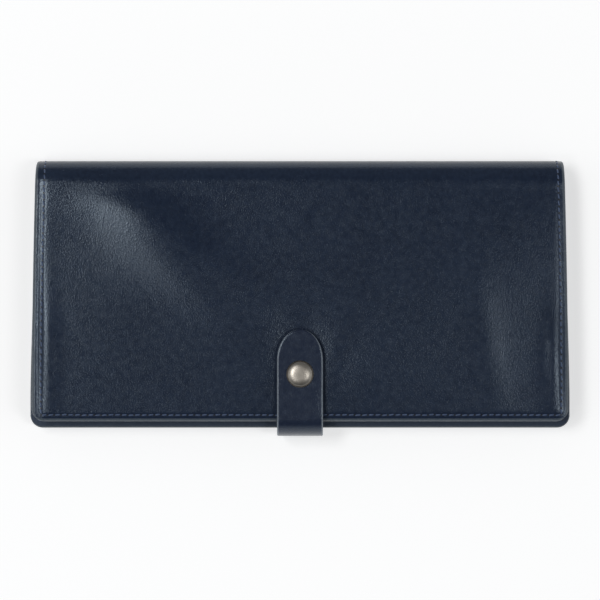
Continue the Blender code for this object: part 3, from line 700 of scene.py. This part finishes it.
def strap_mesh(name, start, end, tip):
    """One length of the strap. Its columns close in on the tip, and the edges are rounded and burnished."""
    radius = 0.5 * MM
    across = np.array([0, 0.07, 0.18, 0.32, 0.5, 0.9, 1.6, 2.8, 4.5, 6.3]) * MM
    across = np.append(across, STRAP_HALF)
    shares = 1 - across / STRAP_HALF
    if tip:
        straight = middle_out(start, end - STRAP_TIP, 0.7 * MM)
        angles = np.radians(np.linspace(0, 90, 26))
        rows = np.concatenate([[start], straight, end - STRAP_TIP + STRAP_TIP * np.sin(angles)])
        narrow = np.concatenate([np.ones(len(straight) + 1), np.cos(angles)])
    else:
        rows = np.concatenate([[start], middle_out(start, end, 0.5 * MM), [end]])
        narrow = np.ones(len(rows))
    columns = np.concatenate([-shares, shares[-2::-1]])
    outer, inner = [], []
    for s, share in zip(rows, narrow):
        half = STRAP_HALF * share
        x = columns * half
        gap = half - np.abs(x)
        if tip:
            gap = np.minimum(gap, edge_gap(np.abs(x), s, end))
        drop = rounding(gap, radius)
        y, z, ny, nz = strap_path(np.full(x.shape, s))
        crown = strap_crown(x, s)
        for store, lift in ((outer, crown - drop), (inner, crown - STRAP_THICK + drop)):
            store.append(np.stack([x, y + ny * lift, z + nz * lift], axis=-1))
    outer, inner = np.array(outer), np.array(inner)
    high, wide = outer.shape[:2]
    points = np.concatenate([outer.reshape(-1, 3), inner.reshape(-1, 3)])
    size = high * wide
    faces, slots = [], []
    edge_columns = 4
    for j in range(high - 1):
        for i in range(wide - 1):
            quad = [j * wide + i, (j + 1) * wide + i, (j + 1) * wide + i + 1, j * wide + i + 1]
            burnish = i < edge_columns or i >= wide - 1 - edge_columns
            faces += [quad, [q + size for q in quad[::-1]]]
            slots += [1 if burnish else 0, 1 if burnish else 2]
    rim = [(j * wide, (j + 1) * wide) for j in range(high - 1)]
    rim += [((j + 1) * wide + wide - 1, j * wide + wide - 1) for j in range(high - 1)]
    rim += [(i + 1, i) for i in range(wide - 1)]
    rim += [((high - 1) * wide + i, (high - 1) * wide + i + 1) for i in range(wide - 1)]
    for a, b in rim:
        faces.append([b, a, a + size, b + size])
        slots.append(1)
    obj = add_mesh(name, points, faces, [STRAP_NAVY, STRAP_EDGE, FLESH], slots)
    bm = bmesh.new()
    bm.from_mesh(obj.data)
    bmesh.ops.remove_doubles(bm, verts=bm.verts, dist=0.004 * MM)
    bmesh.ops.recalc_face_normals(bm, faces=bm.faces)
    bm.to_mesh(obj.data)
    bm.free()
    return obj


def edge_gap(x, s, end):
    """Distance in from the tip's elliptical outline, near enough for its rounding."""
    along = np.clip(s - (end - STRAP_TIP), 0, None) / STRAP_TIP
    reach = np.hypot(x / STRAP_HALF, along)
    return np.where(along > 0, (1 - reach) * np.minimum(STRAP_HALF, STRAP_TIP), STRAP_HALF)


def strap_crown(x, s):
    """The strap is a little fuller along its middle, and dips round the snap's cap."""
    y = strap_path(np.array([s]))[0][0]
    on_top = s > STRAP_MIDDLE
    dip = 0.16 * MM * np.exp(-(np.hypot(x, y - SNAP_Y) / (6.2 * MM)) ** 4) if on_top else 0.0
    twist = 0.14 * MM * np.exp(-(((x - 4.6 * MM) / (1.9 * MM)) ** 2) - ((y + 37 * MM) / (6 * MM)) ** 2)
    return 0.05 * MM * (1 - (x / STRAP_HALF) ** 2) + (twist if on_top else 0.0) - dip


def strap():
    low = strap_mesh("strap_leather_low", 0.0, STRAP_MIDDLE, False)
    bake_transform(low)
    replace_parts(low, "strap_root", "strap_side")
    high = strap_mesh("strap_leather_high", STRAP_MIDDLE, STRAP_LENGTH, True)
    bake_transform(high)
    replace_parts(high, "strap_tab")


# ---------------------------------------------------------------- snap


def turned(name, profile, material, steps=72):
    """A part turned about the snap's axis from (radius, z) pairs that run down its outer side."""
    around = 2 * math.pi * np.arange(steps) / steps
    points, rows = [], []
    for radius, z in profile:
        if radius == 0:
            rows.append([len(points)] * steps)
            points.append((0.0, SNAP_Y, z))
        else:
            rows.append(list(range(len(points), len(points) + steps)))
            points += [(radius * math.cos(a), SNAP_Y + radius * math.sin(a), z) for a in around]
    faces = []
    pairs = list(zip(rows, rows[1:]))
    if profile[0][0] > 0:
        pairs.append((rows[-1], rows[0]))
    for upper, lower in pairs:
        for k in range(steps):
            n = (k + 1) % steps
            quad = [upper[k], lower[k], lower[n], upper[n]]
            faces.append(list(dict.fromkeys(quad)))
    return add_mesh(name, points, faces, [material])


def snap():
    """The dome cap has a rolled rim and a post. The snap's other pieces keep their CAD shapes."""
    radius = (CAP[1].x - CAP[0].x) / 2
    top = CAP[1].z
    rim_z = STRAP_TOP_Z + 0.02 * MM
    rim = 0.42 * MM
    dome_radius, rise = 0.95 * radius, top - rim_z - rim
    dome = []
    for i in range(17):
        share = math.sin(math.radians(90 * i / 16))
        dome.append((dome_radius * share, rim_z + rim + rise * math.sqrt(max(0.0, 1 - share**2.9))))
    roll = []
    for i in range(1, 9):
        a = math.radians(75 - 165 * i / 8)
        roll.append((radius - rim + rim * math.cos(a), rim_z + rim * 0.75 + rim * 0.75 * math.sin(a)))
    post, post_end = 1.5 * MM, CAP[0].z
    profile = dome + roll + [(post, rim_z), (post, post_end), (0.0, post_end)]
    cap = turned("snap_cap_dome", profile, antique_dome_with_painted_shade("cap_nickel", rim_z, top))
    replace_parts(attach(cap, "strap_tab"), "snap_cap")


# ---------------------------------------------------------------- inside


def flat_path(edge_y, z, outward):
    def path(s):
        level = np.zeros(np.shape(s))
        return edge_y + s, level + z, level, level + outward

    return path


def panel_swell(length, fullness, crease):
    """A panel stands slightly full between its seams, with a crease tooled along its mouth."""

    def swell(x, x_in, s):
        full = np.clip(x_in / (14 * MM), 0, 1) * np.clip(s / (14 * MM), 0, 1)
        full = full * np.clip((length - s) / (10 * MM), 0, 1)
        line = np.exp(-(((length - s - 1.6 * MM) / (0.3 * MM)) ** 2)) if crease else 0.0
        return fullness * full - 0.09 * MM * line

    return swell


def inner_sheet(node, outward, half, corner, far_corner, fullness=0.08 * MM):
    """The Sheet that fills a panel's CAD solid."""
    radius = 0.22 * MM
    low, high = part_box(node)
    inset = (BACK_HALF if half is back_half else FRONT_HALF) - high.x
    length = high.y - low.y
    path = flat_path(low.y, high.z if outward > 0 else low.z, outward)
    swell, thick = panel_swell(length, fullness, True), high.z - low.z
    return Sheet(path, length, lambda y: half(y) - inset, swell, thick, corner, far_corner, radius)


def panel_rows(length, radius, extra=()):
    edge = from_edge(5 * MM, 3 * MM, radius=radius)
    body = middle_out(edge[-1], length - edge[-1], 3 * MM)
    return np.unique(np.concatenate([edge, body, length - edge, extra]).round(8))


def panel(node, body, outward, half, far_corner=1.5 * MM, window=None, **options):
    """An inner panel that stands for a CAD node. window is an opening: half_x, centre_y, half_y."""
    sheet = inner_sheet(node, outward, half, 4.0 * MM, far_corner, **options)
    columns, rows = from_edge(8 * MM, 3 * MM, radius=sheet.radius), panel_rows(sheet.length, sheet.radius)
    hole = None
    if window:
        half_x, centre_y, half_y = window
        edge_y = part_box(node)[0].y
        side = float(sheet.half(np.array([centre_y]))[0]) - half_x
        before = middle_out(columns[-1], side, 2.5 * MM)
        columns = np.concatenate([columns, before, [side - 0.3 * MM, side, side + 0.6 * MM]])
        columns = np.unique(columns.round(8))
        sides = [centre_y - edge_y - half_y, centre_y - edge_y + half_y]
        rows = panel_rows(sheet.length, sheet.radius, [sides[0] - 0.3 * MM, *sides, sides[1] + 0.3 * MM])
        rows = rows[(rows <= sides[0] + 1e-7) | (rows >= sides[1] - 1e-7)]

        def hole(points):
            inside_x = np.abs(points[..., 0]) < half_x + 0.2 * MM
            return inside_x & (np.abs(points[..., 1] - centre_y) < half_y + 0.01 * MM)

    piece = sheet.mesh(f"{node}_leather", [INNER_NAVY, INNER_EDGE, FLESH], columns, rows, hole)
    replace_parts(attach(piece, body), node)
    return sheet


def sew(name, body, sheet, runs):
    """Stitches along runs of (x, s) corners on an inner panel."""
    stitches = [stitch for run in runs for stitch in stitch_row(run)]
    piece = thread(name, sheet, stitches, width=0.5 * MM, height=0.2 * MM)
    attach(piece, body)
    # Painted shade in each needle hole of this seam.
    marks = hole_shade(f"{name}_holes", sheet, stitches, radius=0.3 * MM, lift=0.02 * MM)
    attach(marks, body)


def side_runs(sheet, start, end, inset=2.3 * MM):
    """The seam's two side runs between two distances along a sheet."""
    def half(s):
        return float(sheet.half(sheet.path(np.array([s]))[0])[0]) - inset

    return [[(side * half(start), start), (side * half(end), end)] for side in (-1, 1)]


def coin_side():
    """The back leaf's panels: the zipped coin pocket and the slip pocket on it."""
    panel("coin_back_wall", "back_leaf", 1, back_half)
    tape_near, tape_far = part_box("zip_tape_near"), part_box("zip_tape_far")
    stop_closed, stop_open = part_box("zip_stop_closed"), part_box("zip_stop_open")
    half_x = max(stop_closed[1].x, stop_open[1].x) + 1.1 * MM
    centre_y = (tape_near[0].y + tape_far[1].y) / 2
    half_y = 3.1 * MM
    front = panel("coin_front_wall", "back_leaf", 1, back_half, window=(half_x, centre_y, half_y))
    slip = panel("slip_pocket", "back_leaf", 1, back_half)
    edge_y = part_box("coin_front_wall")[0].y
    around_x, around_s = half_x + 1.5 * MM, half_y + 1.4 * MM
    low_s, high_s = centre_y - edge_y - around_s, centre_y - edge_y + around_s
    corners = [(-around_x, low_s), (around_x, low_s), (around_x, high_s), (-around_x, high_s)]
    ring = [*corners, corners[0]]
    sides = side_runs(front, slip.length + 1.2 * MM, front.length - 1.5 * MM)
    sew("coin_pocket_seam", "back_leaf", front, [ring, *sides])
    low = side_runs(slip, 2.3 * MM, slip.length - 1.2 * MM)
    bottom = [(low[0][0][0], 2.3 * MM), (low[1][0][0], 2.3 * MM)]
    sew("slip_pocket_seam", "back_leaf", slip, [*low, bottom])


def zip_tapes():
    """Woven tapes with a corded edge along the teeth."""
    for node, teeth_side in (("zip_tape_near", 1), ("zip_tape_far", -1)):
        low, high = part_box(node)
        width, thick = high.y - low.y, high.z - low.z

        def ribs(x, x_in, s, width=width, teeth_side=teeth_side):
            from_teeth = width - s if teeth_side > 0 else s
            cord = 0.14 * MM * np.exp(-(((from_teeth - 0.55 * MM) / (0.32 * MM)) ** 2))
            return cord - 0.10 * MM + 0.02 * MM * np.cos(s / (0.19 * MM))

        path = flat_path(low.y, high.z, 1)
        radius = 0.12 * MM
        corner = 0.4 * MM
        tape = Sheet(
            path, width, lambda y, x=high.x: x + 0 * y, ribs, thick - 0.1 * MM, corner, corner, radius
        )
        columns = from_edge(3 * MM, 3 * MM, radius=radius)
        edge = from_edge(0.4 * MM, 3 * MM, radius=radius)
        rows = np.concatenate([edge, middle_out(edge[-1], width - edge[-1], 0.16 * MM), (width - edge)[::-1]])
        piece = tape.mesh(f"{node}_cloth", [TAPE, TAPE, TAPE], columns, rows)
        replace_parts(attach(piece, "back_leaf"), node)


def gusset():
    """The coin pocket's side: a strip folded inwards between its two walls, round three sides."""
    low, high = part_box("coin_gusset")
    depth, leather_thick = 3.4 * MM, 0.45 * MM
    middle, rise = (low.z + high.z) / 2, (high.z - low.z) / 2
    fold = np.linspace(-1, 1, 17)
    inset = depth * (1 - np.abs(fold) ** 1.6) + 0.2 * MM
    z = middle + (rise - 0.05 * MM) * fold
    slope_in, slope_z = np.gradient(inset), np.gradient(z)
    size = np.hypot(slope_in, slope_z)
    inner = np.stack([inset + leather_thick * slope_z / size, z - leather_thick * slope_in / size], axis=-1)
    inner[:, 1] = np.clip(inner[:, 1], low.z, high.z)
    profile = np.concatenate([np.stack([inset, z], axis=-1), inner[::-1]])
    angles = np.radians(np.linspace(0, 90, 9))
    points, corner = [], 4.5 * MM
    ys = np.linspace(high.y, low.y + corner, 30)
    for depth_in, height in profile:
        reach = back_half(ys) - (BACK_HALF - high.x) - depth_in
        turn = max(corner - depth_in, 0.2 * MM)
        end_x = reach[-1] - turn
        corner_x, corner_y = end_x + turn * np.cos(angles), low.y + corner - turn * np.sin(angles)
        bottom_x = np.linspace(end_x, -end_x, 41)[1:-1]
        x = np.concatenate([reach[:-1], corner_x, bottom_x, -corner_x[::-1], -reach[-2::-1]])
        y = np.concatenate([ys[:-1], corner_y, np.full(39, corner_y[-1]), corner_y[::-1], ys[-2::-1]])
        points.append(np.stack([x, y, np.full(len(x), height)], axis=-1))
    wide, around = len(points[0]), len(profile)
    faces = [
        (j * wide + i, j * wide + i + 1, (j + 1) % around * wide + i + 1, (j + 1) % around * wide + i)
        for j in range(around)
        for i in range(wide - 1)
    ]
    faces += [[j * wide for j in range(around)], [j * wide + wide - 1 for j in range(around)][::-1]]
    piece = recalculated(add_mesh("coin_gusset_leather", np.concatenate(points), faces, [INNER_NAVY]))
    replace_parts(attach(piece, "back_leaf"), "coin_gusset")


def card_side():
    """The front leaf's panels: stepped card pockets in two columns on a base."""
    nodes = ["card_pocket_1", "card_pocket_2", "card_pocket_3", "card_pocket_4", "card_base"]
    last_mouth = None
    for node in nodes:
        sheet = panel(node, "front_leaf", -1, front_half, fullness=0.05 * MM)
        edge_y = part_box(node)[0].y
        start = 2.3 * MM if last_mouth is None else last_mouth - edge_y + 0.8 * MM
        runs = side_runs(sheet, start, sheet.length - 1.0 * MM)
        if node != "card_base":
            runs.append([(0.0, start), (0.0, sheet.length - 1.0 * MM)])
        if last_mouth is None:
            runs.append([(runs[0][0][0], start), (runs[1][0][0], start)])
        sew(f"{node}_seam", "front_leaf", sheet, runs)
        last_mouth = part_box(node)[1].y


def lining_path(leaf, outward):
    """Flat on its leaf, then easing down on to the cover and round inside it to mid-spine."""
    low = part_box(leaf)[0]
    thick = 0.5 * MM
    radius = SPINE_RADIUS - COVER - 0.2 * MM - thick
    flat_z = 2.9 * MM if outward > 0 else TOP_Z - 2.9 * MM
    turn_z = SPINE_RADIUS - outward * radius
    ease = np.linspace(0, 1, 12)
    smooth = ease * ease * (3 - 2 * ease)
    ease_y = 33 * MM + (TURN_Y - 33 * MM) * ease
    ease_z = flat_z + (turn_z - flat_z) * smooth
    angles = np.radians(np.linspace(0, 90, 30))[1:]
    y = np.concatenate([[low.y], ease_y, TURN_Y + radius * np.sin(angles)])
    z = np.concatenate([[flat_z], ease_z, SPINE_RADIUS - outward * radius * np.cos(angles)])
    along = np.concatenate([[0], np.cumsum(np.hypot(np.diff(y), np.diff(z)))])

    def path(s):
        s = np.asarray(s, float)
        near, far = np.clip(s - 0.3 * MM, 0, along[-1]), np.clip(s + 0.3 * MM, 0, along[-1])
        run_y = np.interp(far, along, y) - np.interp(near, along, y)
        run_z = np.interp(far, along, z) - np.interp(near, along, z)
        size = np.hypot(run_y, run_z)
        return np.interp(s, along, y), np.interp(s, along, z), -outward * run_z / size, outward * run_y / size

    return path, float(along[-1]), thick


def linings():
    for node, outward, half, bend, spine in (
        ("lining_back", 1, back_half, bend_back, ()),
        ("lining_front", -1, front_half, bend_front, ("lining_spine",)),
    ):
        path, length, thick = lining_path(node, outward)
        inset = (BACK_HALF if outward > 0 else FRONT_HALF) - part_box(node)[1].x
        swell = panel_swell(length, 0, False)
        sheet = Sheet(
            path, length, lambda y, h=half, i=inset: h(y) - i, swell, thick, 4 * MM, radius=0.2 * MM
        )
        columns = from_edge(8 * MM, 3 * MM, radius=0.2 * MM)
        rows = np.concatenate([panel_rows(length, 0.2 * MM), np.linspace(length - 22 * MM, length, 28)])
        rows = np.unique(rows.round(8))
        rows = rows[np.concatenate([[True], np.diff(rows) > 0.05 * MM])]
        piece = sheet.mesh(f"{node}_cloth", [LINING, LINING, LINING], columns, rows)
        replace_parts(bend(piece), node, *spine)
        width = 2 * float(sheet.half(0.0))


def carried_over():
    """CAD nodes whose shapes stay: finer edges and their own materials."""
    looks = {
        "stiffener_back": BOARD,
        "stiffener_front": BOARD,
        "zip_teeth_near": ZIP_METAL,
        "zip_teeth_far": ZIP_METAL,
        "zip_stop_closed": ZIP_METAL,
        "zip_stop_open": ZIP_METAL,
        "zip_slider_body": ZIP_METAL,
        "zip_puller": ZIP_METAL,
        "snap_socket": NICKEL,
        "snap_ring_spring": SPRING,
        "snap_stud": NICKEL,
        "snap_rivet": NICKEL,
    }
    for name, material in looks.items():
        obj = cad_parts[name]
        obj.data.materials.clear()
        obj.data.materials.append(material)
        if material in (ZIP_METAL, NICKEL):
            bevel = obj.modifiers.new("edges", "BEVEL")
            bevel.width = 0.08 * MM
            bevel.segments = 2
            bevel.limit_method = "ANGLE"


# ---------------------------------------------------------------- camera, light and floor


def camera():
    data = bpy.data.cameras.new("camera")
    distance, frame_width, sensor = 1.6, 0.217, 36.0
    data.sensor_width = sensor
    data.lens = sensor * distance / frame_width
    data.clip_start, data.clip_end = 0.05, 20.0
    obj = bpy.data.objects.new("camera", data)
    obj.location = (0.0, -0.0006, distance)
    bpy.context.scene.collection.objects.link(obj)
    bpy.context.scene.camera = obj


def area_light(name, place, size, power):
    """A rectangle of light that faces the wallet."""
    data = bpy.data.lights.new(name, "AREA")
    data.shape = "RECTANGLE"
    data.size, data.size_y = size
    data.energy = power
    obj = bpy.data.objects.new(name, data)
    obj.location = place
    obj.rotation_mode = "QUATERNION"
    obj.rotation_quaternion = (-Vector(place)).to_track_quat("-Z", "Y")
    bpy.context.scene.collection.objects.link(obj)


def floor():
    mesh = bpy.data.meshes.new("floor")
    reach = 6.0
    corners = [(-reach, -reach, 0), (reach, -reach, 0), (reach, reach, 0), (-reach, reach, 0)]
    mesh.from_pydata(corners, [], [(0, 1, 2, 3)])
    n = Nodes("studio_floor")
    n.finish(
        Base_Color=(0.70, 0.70, 0.70, 1.0),
        Roughness=0.9,
        Specular_IOR_Level=0.0,
        Emission_Color=(1.0, 1.0, 1.0, 1.0),
        Emission_Strength=0.54,
    )
    mesh.materials.append(n.material)
    obj = bpy.data.objects.new("floor", mesh)
    obj.location.z = -0.15 * MM
    bpy.context.scene.collection.objects.link(obj)


def sky():
    """Dark overhead and on the near side, so that the glazed leather stays deep, and bright all round."""
    world = bpy.data.worlds.new("studio")
    world.use_nodes = True
    tree = world.node_tree
    background = tree.nodes["Background"]
    split = tree.nodes.new("ShaderNodeSeparateXYZ")
    tree.links.new(tree.nodes.new("ShaderNodeTexCoord").outputs["Generated"], split.inputs["Vector"])

    def fade(axis, low, high, out_low, out_high):
        node = tree.nodes.new("ShaderNodeMapRange")
        node.interpolation_type = "SMOOTHSTEP"
        for socket, value in zip(node.inputs[1:5], (low, high, out_low, out_high)):
            socket.default_value = value
        tree.links.new(split.outputs[axis], node.inputs["Value"])
        return node.outputs["Result"]

    near_side = fade("Y", -0.75, -0.15, 0.0, 1.0)
    far_side = fade("Y", 0.05, 0.60, 1.0, 0.32)
    low_down = fade("Z", 0.15, 0.45, 1.0, 0.0)
    either = tree.nodes.new("ShaderNodeMath")
    either.operation = "MAXIMUM"
    tree.links.new(near_side, either.inputs[0])
    tree.links.new(low_down, either.inputs[1])
    dimmed = tree.nodes.new("ShaderNodeMapRange")
    for socket, value in zip(dimmed.inputs[1:5], (0.0, 1.0, 0.12, 1.0)):
        socket.default_value = value
    tree.links.new(either.outputs["Value"], dimmed.inputs["Value"])
    strength = fade("Z", 0.68, 0.95, 0.62, 0.09)
    for factor in (dimmed.outputs["Result"], far_side):
        product = tree.nodes.new("ShaderNodeMath")
        product.operation = "MULTIPLY"
        tree.links.new(strength, product.inputs[0])
        tree.links.new(factor, product.inputs[1])
        strength = product.outputs["Value"]
    tree.links.new(strength, background.inputs["Strength"])
    background.inputs["Color"].default_value = (0.95, 0.98, 1.0, 1.0)
    bpy.context.scene.world = world


def studio():
    bpy.context.scene.view_settings.view_transform = "Standard"
    sky()
    area_light("key", (-1.15, 0.46, 2.90), (1.20, 0.60), 27.0)
    area_light("side", (1.15, -0.25, 2.80), (0.35, 0.90), 10.0)
    area_light("low", (-0.90, -0.70, 2.85), (0.50, 0.50), 5.0)
    floor()


camera()
studio()
outer_leather()
leaf_stitches()
strap_anchor()
strap()
snap()
coin_side()
zip_tapes()
gusset()
card_side()
linings()
carried_over()
